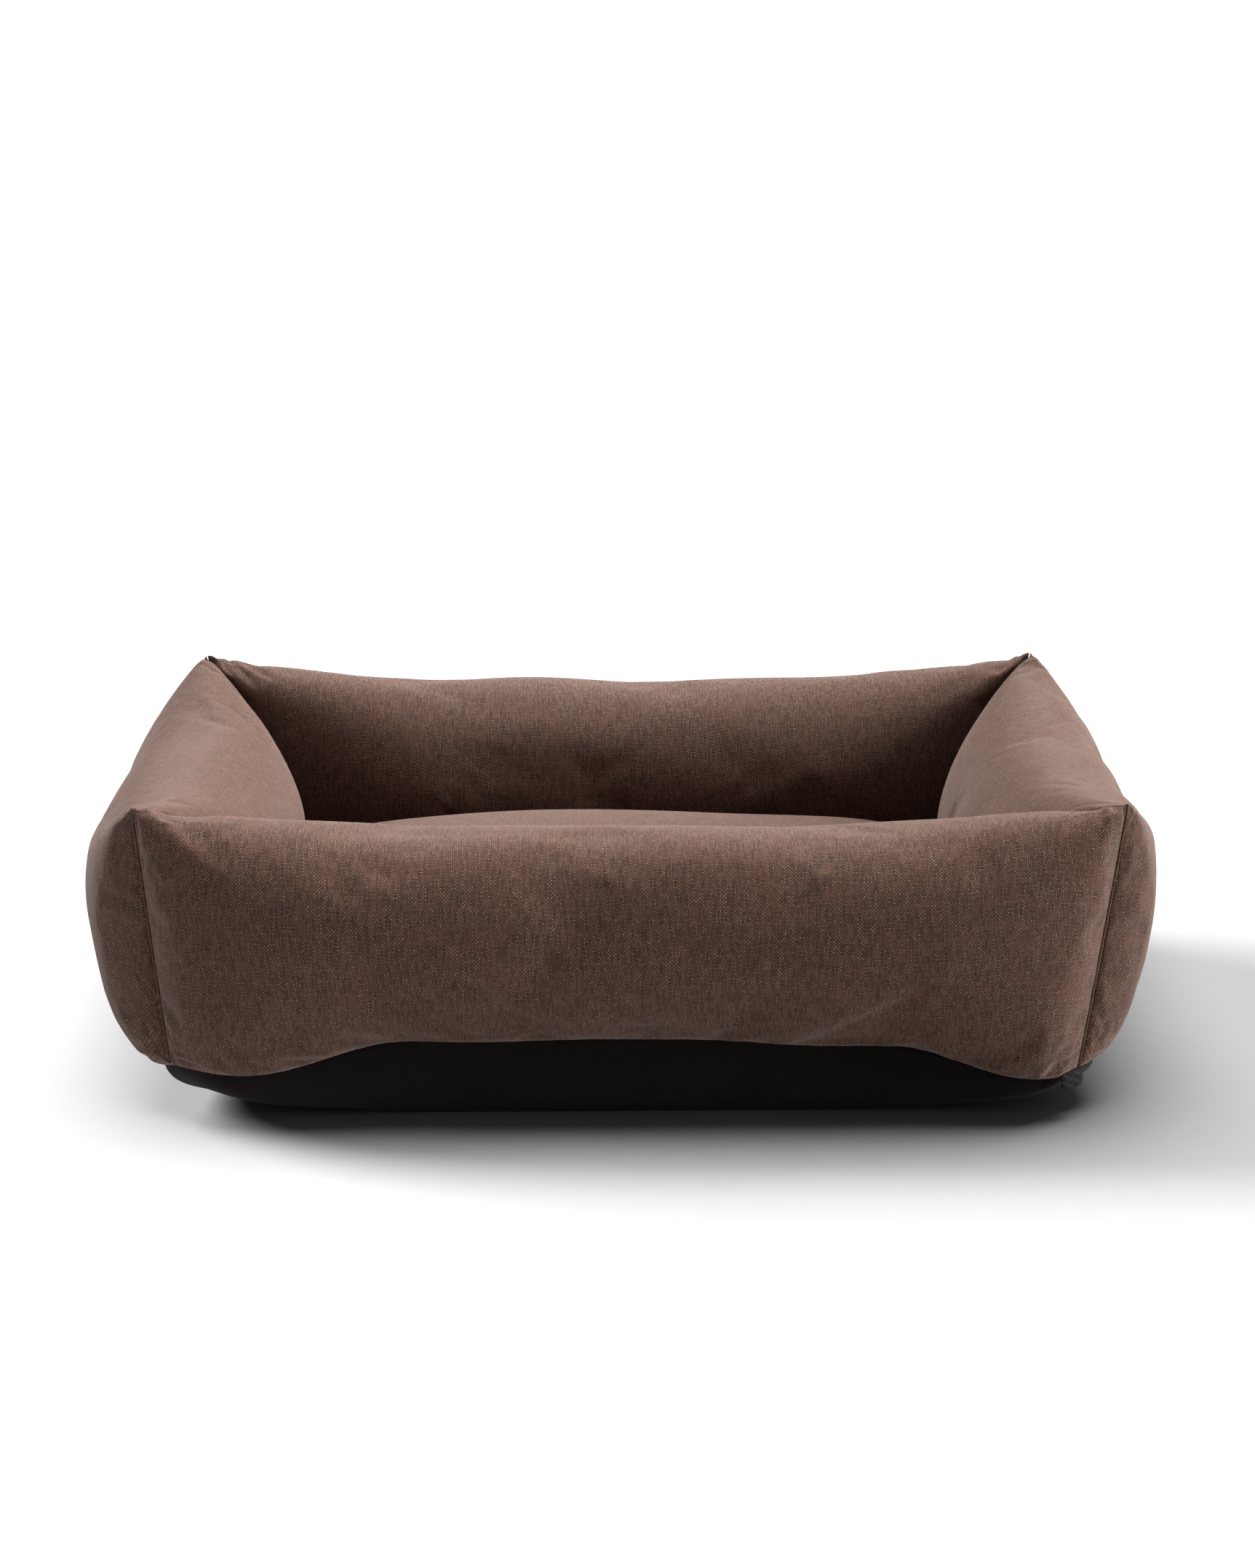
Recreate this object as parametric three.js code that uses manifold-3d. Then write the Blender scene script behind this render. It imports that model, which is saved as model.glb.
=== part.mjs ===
// A rectangular dog bed: four bolster walls, pinched flat where they meet, on a padded base
// that curves up off the floor, with a loose domed cushion inside.
//
// Millimetres. +Z is up, +X runs along the long side, +Y points to the back. The origin is on
// the floor, in the middle of the bed.
//
// Every stuffed piece is a stack of closed rings: each ring has the same number of points, and
// neighbouring rings are joined by two triangles per point.

import * as THREE from 'three';
import { mergeVertices } from 'three/addons/utils/BufferGeometryUtils.js';
import Module from 'manifold-3d';

const wasm = await Module();
wasm.setup();

// ---- Driving dimensions ----

const CORNER_X = 435;        // half the distance between corner seams, side to side
const CORNER_Y = 323;        // half the distance between corner seams, front to back
const PEAK_Z = 300;          // top of a corner seam
const RIM_Z = 281;           // rim at the middle of a wall
const WALL_FOOT_Z = 90;      // underside of a wall along its middle
const CORNER_FOOT_Z = 52;    // underside of a wall at its corners
const FLARE = 24;            // how far a corner seam leans outwards from its foot to its peak
const BELLY_OUT = 74;        // how far a wall swells outwards from the line of the corner seams
const BELLY_IN = 106;        // how far it swells inwards
const PINCH = 6;             // power of the pinch: higher keeps a wall full nearer to its corners
const END_HALF = 3;          // half the thickness of a pinched end
const END_GAP = 1.5;         // from a pinched end to the line of the corner seam
const CLOTH = 2;             // cover cloth with its backing
const GAP = 0.6;             // clearance between nested pieces

const CUSHION_X = 342;       // half the cushion's length at its foot, between its corners' tips
const CUSHION_Y = 230;       // half its width at its foot, likewise
const CUSHION_SEAM_Z = 135;  // height of the seam between the cushion's two panels
const CUSHION_CROWN_Z = 200; // top of the cushion

const BASE_ZIP_LENGTH = 330;
const CUSHION_ZIP_LENGTH = 400;

// ---- Materials ----

const cloth = new THREE.MeshStandardMaterial({ color: 0x5f4840, roughness: 0.95, metalness: 0 });
const soleCloth = new THREE.MeshStandardMaterial({ color: 0x14100e, roughness: 0.9, metalness: 0 });
const wadding = new THREE.MeshStandardMaterial({ color: 0xf1efea, roughness: 1, metalness: 0 });
const foam = new THREE.MeshStandardMaterial({ color: 0xe8dfc4, roughness: 0.95, metalness: 0 });
const zipCloth = new THREE.MeshStandardMaterial({ color: 0x1b1715, roughness: 0.85, metalness: 0 });
const zipNylon = new THREE.MeshStandardMaterial({ color: 0x241e1b, roughness: 0.5, metalness: 0 });
const zipMetal = new THREE.MeshStandardMaterial({ color: 0x6d6660, roughness: 0.35, metalness: 1 });

// ---- Solids ----

/** Joins rings of equal length into one closed body, with a fan over the first and last ring. */
function ringsGeometry(rings) {
  const count = rings[0].length;
  const positions = rings.flat(2);
  const middle = (ring) => [0, 1, 2].map((axis) => ring.reduce((sum, p) => sum + p[axis], 0) / count);
  positions.push(...middle(rings[0]), ...middle(rings.at(-1)));
  const firstMiddle = rings.length * count;
  const index = [];
  for (let i = 0; i < count; i++) {
    const j = (i + 1) % count;
    for (let r = 0; r < rings.length - 1; r++) {
      const a = r * count + i;
      const b = r * count + j;
      index.push(a, b, b + count, a, b + count, a + count);
    }
    const last = (rings.length - 1) * count;
    index.push(firstMiddle, j, i, firstMiddle + 1, last + i, last + j);
  }
  const geometry = new THREE.BufferGeometry();
  geometry.setAttribute('position', new THREE.Float32BufferAttribute(positions, 3));
  geometry.setIndex(index);
  return facingOut(geometry);
}

/** Turns every triangle over when the body's signed volume is negative. */
function facingOut(geometry) {
  const p = geometry.getAttribute('position');
  const index = geometry.getIndex().array;
  const corner = [new THREE.Vector3(), new THREE.Vector3(), new THREE.Vector3()];
  let volume = 0;
  for (let t = 0; t < index.length; t += 3) {
    corner.forEach((v, k) => v.fromBufferAttribute(p, index[t + k]));
    volume += corner[0].dot(corner[1].clone().cross(corner[2]));
  }
  if (volume < 0) {
    for (let t = 0; t < index.length; t += 3) {
      [index[t], index[t + 1]] = [index[t + 1], index[t]];
    }
  }
  return geometry;
}

function toSolid(geometry) {
  const bare = geometry.clone();
  bare.deleteAttribute('normal');
  bare.deleteAttribute('uv');
  const merged = mergeVertices(bare, 1e-4);
  return new wasm.Manifold(new wasm.Mesh({
    numProp: 3,
    vertProperties: merged.getAttribute('position').array,
    triVerts: new Uint32Array(merged.getIndex().array),
  }));
}

function toGeometry(solid) {
  const mesh = solid.getMesh();
  const geometry = new THREE.BufferGeometry();
  geometry.setAttribute('position', new THREE.BufferAttribute(mesh.vertProperties, 3));
  geometry.setIndex(new THREE.BufferAttribute(mesh.triVerts, 1));
  return geometry;
}

function cut(geometry, ...tools) {
  return toGeometry(tools.reduce((solid, tool) => solid.subtract(toSolid(tool)), toSolid(geometry)));
}

function box(x, y, z, centre = [0, 0, 0]) {
  return new THREE.BoxGeometry(x, y, z).translate(...centre);
}

function mesh(name, geometry, material) {
  const piece = new THREE.Mesh(geometry, material);
  piece.name = name;
  return piece;
}

function smooth(low, high, value) {
  const t = THREE.MathUtils.clamp((value - low) / (high - low), 0, 1);
  return t * t * (3 - 2 * t);
}

// ---- Bolster walls ----

/** Underside of a wall at station s, -1 to 1 between its corner seams: it droops at both ends. */
function footHeight(s) {
  return WALL_FOOT_Z - (WALL_FOOT_Z - CORNER_FOOT_Z) * smooth(0.5, 0.9, Math.abs(s));
}

function rimHeight(s) {
  return RIM_Z + (PEAK_Z - RIM_Z) * Math.abs(s) ** 3;
}

/**
 * Narrows a piece towards the floor, so that the corner seams lean outwards to their peaks. The
 * seams stand halfX and halfY from the middle at the height of the peaks.
 */
function flared(geometry, halfX, halfY) {
  const p = geometry.getAttribute('position');
  for (let i = 0; i < p.count; i++) {
    const lean = (FLARE * (PEAK_Z - p.getZ(i))) / (PEAK_Z - CORNER_FOOT_Z);
    p.setX(i, p.getX(i) * (1 - lean / halfX));
    p.setY(i, p.getY(i) * (1 - lean / halfY));
  }
  return geometry;
}

// Where a wall's cross-sections stand between its middle, 0, and its corner seam, 1.
const STATIONS = [0.26, 0.5, 0.7, 0.84, 0.93, 0.98, 1];
const SECTION_POINTS = 18;

/** One cross-section of a pillow at station s, shrunk by inset and moved back by retreat. */
function section(s, inset, halfLength, line, retreat) {
  const fullness = Math.sqrt(1 - Math.abs(s) ** PINCH);
  const height = (rimHeight(s) - footHeight(s)) / 2 - inset;
  const middle = (rimHeight(s) + footHeight(s)) / 2;
  return Array.from({ length: SECTION_POINTS }, (_, i) => {
    const turn = (2 * Math.PI * i) / SECTION_POINTS;
    const side = Math.cos(turn) > 0 ? BELLY_OUT : BELLY_IN;
    const half = Math.max(END_HALF, side * fullness) - inset;
    const out = half * Math.cos(turn);
    const along = s * (halfLength - END_GAP + Math.min(0, out)) - Math.sign(s) * retreat;
    return [along, -line - out, middle + height * Math.sin(turn)];
  });
}

/**
 * A pillow along X whose outer side faces -Y. Its cross-section is an oval that swells more
 * inwards than outwards and thins to an upright edge at both ends. Its inner side is shortened
 * by as much as it stands in, so that neighbouring walls meet on a diagonal. A pillow inside
 * another one is shrunk by inset, and ends before the pinched edge.
 */
function pillow(halfLength, line, inset) {
  const half = inset > 0 ? STATIONS.slice(0, -1) : STATIONS;
  const stations = [...half.map((s) => -s).reverse(), 0, ...half];
  const last = stations.length - 1;
  return ringsGeometry(stations.map((s, k) => (
    section(s, inset, halfLength, line, k === 0 || k === last ? 2.5 * inset : 0)
  )));
}

const CORE_RADIUS = 46;
const CORE_SHORT = 150;      // from the end of a wall's foam core to the corner seam
const SLIT_IN = 8;           // from the line of the corner seams in to the middle of the slit

/** The three pieces of one wall. Cover and wadding are slit along the underside, for filling. */
function wall(name, halfLength, line, turn) {
  const centreZ = (RIM_Z + WALL_FOOT_Z) / 2;
  const coreLine = line - (BELLY_IN - BELLY_OUT) / 2;
  const coreLength = 2 * (halfLength - CORE_SHORT);
  const slit = (width) => box(coreLength, width, centreZ, [0, SLIT_IN - line, centreZ / 2]);
  const core = (grow) => new THREE.CylinderGeometry(
    CORE_RADIUS + grow, CORE_RADIUS + grow, coreLength + 2 * grow, 10,
  ).rotateZ(Math.PI / 2).translate(0, -coreLine, centreZ);
  const cover = cut(pillow(halfLength, line, 0), pillow(halfLength, line, CLOTH), slit(12));
  const fill = cut(pillow(halfLength, line, CLOTH + GAP), core(GAP), slit(4));
  const group = new THREE.Group();
  group.add(
    mesh(`${name}_wall_cover`, flared(cover, halfLength, line), cloth),
    mesh(`${name}_wall_wadding`, flared(fill, halfLength, line), wadding),
    mesh(`${name}_wall_core`, flared(core(0), halfLength, line), foam),
  );
  group.rotation.z = turn;
  return group;
}

/** The sewn seam that closes two neighbouring covers together at a corner. */
function cornerSeam(name, signX, signY) {
  const width = 3.6;
  const foot = CORNER_FOOT_Z + 2;
  const height = PEAK_Z - foot;
  const out = width / 2 - 0.8;
  const centre = [signX * (CORNER_X + out), signY * (CORNER_Y + out), foot + height / 2];
  return mesh(name, flared(box(width, width, height, centre), CORNER_X, CORNER_Y), cloth);
}

// ---- Base ----

/** Points round a rounded rectangle of half sizes a and b: 5 on each corner arc, 5 on each side. */
function outline(a, b, radius) {
  const arcSteps = 4;
  const sideSteps = 6;
  const points = [];
  for (let corner = 0; corner < 4; corner++) {
    const signX = corner === 0 || corner === 3 ? 1 : -1;
    const signY = corner < 2 ? 1 : -1;
    for (let i = 0; i <= arcSteps; i++) {
      const turn = (Math.PI / 2) * (corner + i / arcSteps);
      points.push([
        signX * (a - radius) + radius * Math.cos(turn),
        signY * (b - radius) + radius * Math.sin(turn),
      ]);
    }
  }
  return points.flatMap((point, i) => {
    if (i % (arcSteps + 1) !== arcSteps) return [point];
    const next = points[(i + 1) % points.length];
    const between = [1, 2, 3, 4, 5].map((k) => [0, 1].map((d) => (
      point[d] + (next[d] - point[d]) * (k / sideSteps)
    )));
    return [point, ...between];
  });
}

/** A ring of the base: the corner-seam rectangle grown by grow, at a height worked out per point. */
function baseRing(grow, radius, heightAt) {
  return outline(CORNER_X + grow, CORNER_Y + grow, radius).map(([x, y]) => [x, y, heightAt(x, y)]);
}

/** Top edge of the sole: it follows the underside of the walls, a little below it. */
function soleEdge(x, y) {
  const s = Math.min(Math.abs(x) / (CORNER_X - FLARE), Math.abs(y) / (CORNER_Y - FLARE));
  return footHeight(s) - 4;
}

// The sole's side from the floor to its top edge: [share of the edge's height, growth].
const SOLE_SIDE = [[0, -60], [0.1, -44], [0.33, -27], [0.6, -16], [0.84, -10], [1, -8]];
const SOLE_CORNER = 70;

function baseSole() {
  const outer = SOLE_SIDE.map(([share, grow]) => (
    baseRing(grow, SOLE_CORNER + grow / 2, (x, y) => share * soleEdge(x, y))
  ));
  const inner = SOLE_SIDE.map(([share, grow]) => (
    baseRing(grow - CLOTH, SOLE_CORNER + grow / 2 - CLOTH, (x, y) => (
      Math.max(CLOTH, share * soleEdge(x, y))
    ))
  )).reverse();
  return mesh('base_sole', ringsGeometry([...outer, ...inner]), soleCloth);
}

const SLAB_TOP_Z = 84;
const SLAB_TOP_GROW = -95;
const SLAB_TOP_CORNER = 110;
const SLAB_EDGE_Z = 46;
const SLAB_EDGE_GROW = -36;
const SLAB_EDGE_CORNER = 60;

function baseFoam() {
  const rings = [
    [-66, CLOTH + GAP, 34],
    [-56, 9, 40],
    [-44, 24, 50],
    [SLAB_EDGE_GROW, SLAB_EDGE_Z, SLAB_EDGE_CORNER],
    [SLAB_TOP_GROW, SLAB_TOP_Z, SLAB_TOP_CORNER],
  ].map(([grow, z, radius]) => baseRing(grow, radius, () => z));
  return mesh('base_foam', ringsGeometry(rings), foam);
}

/** Cloth over the slab: a flat middle under the cushion and a skirt that runs down to its edge. */
function baseLining() {
  const rings = [
    [SLAB_TOP_GROW, SLAB_TOP_Z + GAP, SLAB_TOP_CORNER],
    [SLAB_EDGE_GROW, SLAB_EDGE_Z + GAP, SLAB_EDGE_CORNER],
    [SLAB_EDGE_GROW, SLAB_EDGE_Z + GAP + CLOTH, SLAB_EDGE_CORNER],
    [SLAB_TOP_GROW, SLAB_TOP_Z + GAP + CLOTH, SLAB_TOP_CORNER],
  ].map(([grow, z, radius]) => baseRing(grow, radius, () => z));
  return mesh('base_lining', ringsGeometry(rings), cloth);
}

// ---- Zips ----

const COIL_WIDTH = 4.4;
const COIL_DEPTH = 2.6;
const TAPE_WIDTH = 10;
const TAPE_DEPTH = 1.2;
const SLIDER_LENGTH = 11;
const PULL_LENGTH = 24;
const STOP_LENGTH = 5;

/**
 * A closed zip laid along X with its face towards +Z, its coil on the X axis. The slider is parked
 * at the -X end.
 */
function zip(name, length) {
  const tapeCentre = COIL_WIDTH / 2 + GAP + TAPE_WIDTH / 2;
  const coilLength = length - 2 * (STOP_LENGTH + GAP);
  const tape = (side, sign) => mesh(
    `${name}_zip_tape_${side}`,
    box(length, TAPE_WIDTH, TAPE_DEPTH, [0, sign * tapeCentre, TAPE_DEPTH / 2]),
    zipCloth,
  );
  const coil = new THREE.CylinderGeometry(COIL_WIDTH / 2, COIL_WIDTH / 2, coilLength, 8)
    .rotateZ(Math.PI / 2)
    .scale(1, 1, COIL_DEPTH / COIL_WIDTH)
    .translate(0, 0, COIL_DEPTH / 2 + 0.3);
  const stop = (end, sign) => mesh(
    `${name}_zip_stop_${end}`,
    box(STOP_LENGTH, COIL_WIDTH, COIL_DEPTH, [sign * (length - STOP_LENGTH) / 2, 0, COIL_DEPTH / 2 + 0.3]),
    zipMetal,
  );
  const parked = -length / 2 + STOP_LENGTH + GAP + SLIDER_LENGTH / 2;
  return [
    tape('upper', 1),
    tape('lower', -1),
    mesh(`${name}_zip_coil`, coil, zipNylon),
    stop('open', 1),
    stop('closed', -1),
    mesh(`${name}_zip_slider`, zipSlider().translate(parked, 0, 0), zipMetal),
    mesh(`${name}_zip_pull`, zipPull().translate(parked, 0, 0), zipMetal),
  ];
}

const SLIDER_ROOF_Z = 5.4;   // top of the slider's roof
const BRIDGE_Z = 8.8;        // top of the bridge that holds the pull
const PIVOT_Z = 6.75;        // the pull's pivot, inside the bridge

/** A roof over the coil with two cheeks down its sides, and a bridge on top for the pull tab. */
function zipSlider() {
  const outerHalf = COIL_WIDTH / 2 + GAP + 1.2;
  const innerHalf = COIL_WIDTH / 2 + GAP;
  const floor = TAPE_DEPTH + 0.4;
  const roofUnder = COIL_DEPTH + 0.3 + 0.5;
  const section = new THREE.Shape([
    [-outerHalf, floor], [-innerHalf, floor], [-innerHalf, roofUnder], [innerHalf, roofUnder],
    [innerHalf, floor], [outerHalf, floor], [outerHalf, SLIDER_ROOF_Z - 1], [outerHalf - 1, SLIDER_ROOF_Z],
    [-outerHalf + 1, SLIDER_ROOF_Z], [-outerHalf, SLIDER_ROOF_Z - 1],
  ].map(([x, y]) => new THREE.Vector2(x, y)));
  const body = new THREE.ExtrudeGeometry(section, { depth: SLIDER_LENGTH, bevelEnabled: false })
    .translate(0, 0, -SLIDER_LENGTH / 2)
    .rotateX(Math.PI / 2)
    .rotateZ(Math.PI / 2);
  const arch = new THREE.Shape([
    [-4, SLIDER_ROOF_Z - 0.5], [4, SLIDER_ROOF_Z - 0.5], [4, BRIDGE_Z - 1.2], [2.8, BRIDGE_Z],
    [-2.8, BRIDGE_Z], [-4, BRIDGE_Z - 1.2],
  ].map(([x, y]) => new THREE.Vector2(x, y)));
  arch.holes.push(new THREE.Path([
    [-2.6, SLIDER_ROOF_Z + 0.3], [2.6, SLIDER_ROOF_Z + 0.3], [2.6, BRIDGE_Z - 1], [-2.6, BRIDGE_Z - 1],
  ].map(([x, y]) => new THREE.Vector2(x, y))));
  const bridge = new THREE.ExtrudeGeometry(arch, { depth: 1.8, bevelEnabled: false })
    .translate(0, 0, -0.9)
    .rotateX(Math.PI / 2);
  return toGeometry(toSolid(body).add(toSolid(bridge)));
}

/**
 * The pull tab, lying back along the tape towards +X. A round pin across the zip passes through the
 * bridge and joins the two arms of the tab, one on each side of the bridge.
 */
function zipPull() {
  const armGap = 0.5;
  const armWidth = 1.4;
  const armOut = 0.9 + armGap + armWidth;
  const thick = 1.6;
  const tabWidth = 2 * armOut + 1.2;
  const low = PIVOT_Z - thick / 2;
  const arms = [-1, 1].map((sign) => (
    box(7.2, armWidth, thick, [2.8, sign * (armOut - armWidth / 2), low + thick / 2])
  ));
  const tab = new THREE.Shape();
  const radius = tabWidth / 2;
  tab.moveTo(6, -radius);
  tab.lineTo(PULL_LENGTH - radius, -radius);
  tab.absarc(PULL_LENGTH - radius, 0, radius, -Math.PI / 2, Math.PI / 2);
  tab.lineTo(6, radius);
  tab.closePath();
  const hole = new THREE.Path();
  hole.absarc(PULL_LENGTH - radius, 0, 1.5, 0, 2 * Math.PI);
  tab.holes.push(hole);
  const plate = new THREE.ExtrudeGeometry(tab, { depth: thick, bevelEnabled: false, curveSegments: 6 })
    .translate(0, 0, low);
  const pin = new THREE.CylinderGeometry(0.7, 0.7, 2 * armOut, 8).translate(0, 0, PIVOT_Z);
  const pieces = [plate, ...arms].map(toSolid);
  return toGeometry(pieces.reduce((solid, piece) => solid.add(piece), toSolid(pin)));
}

// ---- Cushion ----

const CUSHION_FOOT_Z = SLAB_TOP_Z + GAP + CLOTH + GAP;
const CUSHION_CORNER = 30;
const CUSHION_SWELL = 13;    // how far the side leans out from its foot to the seam
const PULL_IN_X = 0.121;     // share by which the short sides pull in between the corners
const PULL_IN_Y = 0.181;     // share by which the long sides pull in

function cushionRing(scale, grow, z) {
  const a = CUSHION_X + grow;
  const b = CUSHION_Y + grow;
  return outline(a, b, CUSHION_CORNER + grow).map(([x, y]) => [
    scale * x * (1 - PULL_IN_X * (1 - Math.abs(y / b) ** PINCH)),
    scale * y * (1 - PULL_IN_Y * (1 - Math.abs(x / a) ** PINCH)),
    z,
  ]);
}

/** Rings of the crown from the seam to near the middle: full at the middle, steep at the seam. */
function crownRings(grow, seamZ, crownZ) {
  return [1, 0.985, 0.93, 0.82, 0.64, 0.36].map((scale) => (
    cushionRing(scale, grow, seamZ + (crownZ - seamZ) * Math.sqrt(1 - scale ** 3))
  ));
}

function cushion() {
  const seamZ = CUSHION_SEAM_Z;
  const foot = CUSHION_FOOT_Z;
  const inside = CUSHION_SWELL - CLOTH;
  const top = ringsGeometry([
    ...crownRings(CUSHION_SWELL, seamZ + GAP, CUSHION_CROWN_Z).reverse(),
    ...crownRings(inside, seamZ + GAP, CUSHION_CROWN_Z - CLOTH),
  ]);
  const bottom = ringsGeometry([
    cushionRing(1, -8, foot),
    cushionRing(1, 0, foot + 6),
    cushionRing(1, CUSHION_SWELL, seamZ),
    cushionRing(1, inside, seamZ),
    cushionRing(1, -CLOTH, foot + 7),
    cushionRing(1, -8 - CLOTH, foot + CLOTH),
  ]);
  const slabTop = seamZ - 2;
  const slab = ringsGeometry([
    cushionRing(1, -14, foot + CLOTH + GAP),
    cushionRing(1, -6, foot + 9),
    cushionRing(1, -1, slabTop),
  ]);
  const fill = ringsGeometry(crownRings(inside - 1.5, slabTop + GAP, CUSHION_CROWN_Z - CLOTH - 1.4));
  return [
    mesh('cushion_cover_top', top, cloth),
    mesh('cushion_cover_bottom', bottom, cloth),
    mesh('cushion_foam', slab, foam),
    mesh('cushion_wadding', fill, wadding),
  ];
}

// ---- Assembly ----

const group = new THREE.Group();

group.add(
  wall('front', CORNER_X, CORNER_Y, 0),
  wall('back', CORNER_X, CORNER_Y, Math.PI),
  wall('right', CORNER_Y, CORNER_X, Math.PI / 2),
  wall('left', CORNER_Y, CORNER_X, -Math.PI / 2),
  cornerSeam('corner_seam_front_left', -1, -1),
  cornerSeam('corner_seam_front_right', 1, -1),
  cornerSeam('corner_seam_back_left', -1, 1),
  cornerSeam('corner_seam_back_right', 1, 1),
  baseSole(),
  baseFoam(),
  baseLining(),
);

// The base's zip lies on the sole's right side, under the wall. Its face leans down with the
// cloth, and its parked end is towards the front.
const BASE_ZIP_LEAN = 0.28;
const baseZip = zip('base', BASE_ZIP_LENGTH);
const baseZipTurn = new THREE.Group();
baseZipTurn.rotation.z = Math.PI / 2;
baseZipTurn.add(...baseZip);
const baseZipPlace = new THREE.Group();
baseZipPlace.position.set(CORNER_X - 11.4, 0, 60);
baseZipPlace.rotation.y = Math.PI / 2 + BASE_ZIP_LEAN;
baseZipPlace.add(baseZipTurn);
group.add(baseZipPlace);

// The end of the zip's tapes, stitched flat and tucked round the front right corner of the sole.
const endTab = mesh('base_zip_end_tab', box(24, 2.4, 16), zipCloth);
endTab.position.set(CORNER_X - 39.6, -CORNER_Y + 14.4, 42);
endTab.rotation.z = Math.PI / 6;
group.add(endTab);

// The cushion's zip lies along its back edge, just off the cloth, and leans down with it.
const CUSHION_ZIP_LEAN = 0.28;
const cushionZipPlace = new THREE.Group();
cushionZipPlace.position.set(0, 195, 108);
cushionZipPlace.rotation.set(-Math.PI / 2 - CUSHION_ZIP_LEAN, 0, Math.PI);
cushionZipPlace.add(...zip('cushion', CUSHION_ZIP_LENGTH));
group.add(...cushion(), cushionZipPlace);

export default group;
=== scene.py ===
"""Pet cushion bed: four stuffed bolster walls of woven cloth on a dark padded base, with a loose
domed cushion inside. Metres, +Z up, in the frame of the CAD part, which gives every place and size.
"""

import math

import bmesh
import bpy
import numpy as np
from bpy.props import FloatProperty, FloatVectorProperty, PointerProperty
from mathutils import Matrix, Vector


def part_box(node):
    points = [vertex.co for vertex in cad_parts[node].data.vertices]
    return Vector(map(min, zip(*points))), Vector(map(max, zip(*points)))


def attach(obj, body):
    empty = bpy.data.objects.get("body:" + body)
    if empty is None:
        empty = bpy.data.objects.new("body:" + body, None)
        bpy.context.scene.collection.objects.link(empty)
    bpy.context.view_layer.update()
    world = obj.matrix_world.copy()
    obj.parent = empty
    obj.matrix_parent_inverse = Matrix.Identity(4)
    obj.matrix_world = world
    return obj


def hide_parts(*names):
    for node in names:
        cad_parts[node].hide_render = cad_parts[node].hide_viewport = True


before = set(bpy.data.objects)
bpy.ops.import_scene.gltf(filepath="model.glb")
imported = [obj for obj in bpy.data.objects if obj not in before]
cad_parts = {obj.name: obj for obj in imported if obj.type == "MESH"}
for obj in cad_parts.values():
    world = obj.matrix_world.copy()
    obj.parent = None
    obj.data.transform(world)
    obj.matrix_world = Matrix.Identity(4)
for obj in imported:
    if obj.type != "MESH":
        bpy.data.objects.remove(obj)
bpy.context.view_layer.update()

bl_info = {
    "name": "Pet Cushion Bed",
    "version": (1, 0, 0),
    "blender": (4, 5, 0),
    "location": "View3D > Sidebar > Pet bed",
    "description": "Sews, stuffs and lights a pet bed around its CAD frame",
    "category": "Mesh",
}

# ---- Sizes taken from the frame ----

SEAM_REACH = 0.0028                      # from the corner line to a corner seam's outer face
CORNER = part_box("corner_seam_front_right")[1].x - SEAM_REACH
CORNER_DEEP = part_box("corner_seam_back_right")[1].y - SEAM_REACH
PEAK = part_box("corner_seam_front_right")[1].z
SEAM_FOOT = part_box("corner_seam_front_right")[0].z
CORNER_FOOT = SEAM_FOOT - 0.002          # lowest point of the flare
WALL_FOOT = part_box("base_sole")[1].z - 0.002   # underside of a wall along its middle
CUSHION_FOOT, CUSHION_SEAM = (corner.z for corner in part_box("cushion_cover_bottom"))
CUSHION_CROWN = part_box("cushion_cover_top")[1].z
CUSHION_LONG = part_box("cushion_cover_top")[1].x
CUSHION_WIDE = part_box("cushion_cover_top")[1].y

# ---- Form of the sewn pieces ----

RIM_DIP = 0.025                          # how far the rim dips between two peaks
FLARE = 0.024                            # how far a corner seam leans out from foot to peak
RIGHT_FLARE = 1.35                       # the right corners' lean, as a share of the left ones'
BELLY_IN = 0.106                         # from the corner line to a wall's innermost point
PINCH = 6                                # power of a wall's pinch towards its ends
END_HALF = 0.003                         # half the thickness of a wall's sewn end
END_GAP = 0.0015                         # from a wall's sewn end to the corner line
PULL_IN_LONG = 0.121                     # share by which the cushion's short sides pull in
PULL_IN_WIDE = 0.181                     # the same for its long sides
ZIP_LEAN = 0.28                          # both zips lean down by this angle, in radians

STUFFING_FRAMES = 20                     # length of the cloth simulation
CREASE_REACH = 8                         # points to each side over which a movement is evened out

# Underside of the walls at each corner.
CORNER_FEET = {"front_left": 0.058, "front_right": 0.050, "back_left": 0.056, "back_right": 0.056}


class Wall:
    """One bolster wall, as seen from outside: from corner start at its left to corner end."""

    def __init__(self, half_length, line, turn, belly_out, ears, start, end):
        self.half_length = half_length
        self.line = line
        self.turn = turn
        self.belly_out = belly_out
        self.ears = ears
        self.corners = (CORNER_FEET[start], CORNER_FEET[end])


WALLS = {
    "front": Wall(CORNER, CORNER_DEEP, 0.0, 0.074, (0.053, 0.043), "front_left", "front_right"),
    "right": Wall(CORNER_DEEP, CORNER, math.pi / 2, 0.064, (0.047, 0.051), "front_right", "back_right"),
    "back": Wall(CORNER, CORNER_DEEP, math.pi, 0.072, (0.051, 0.051), "back_right", "back_left"),
    "left": Wall(CORNER_DEEP, CORNER, -math.pi / 2, 0.074, (0.051, 0.051), "back_left", "front_left"),
}


# ---- Settings ----

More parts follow.
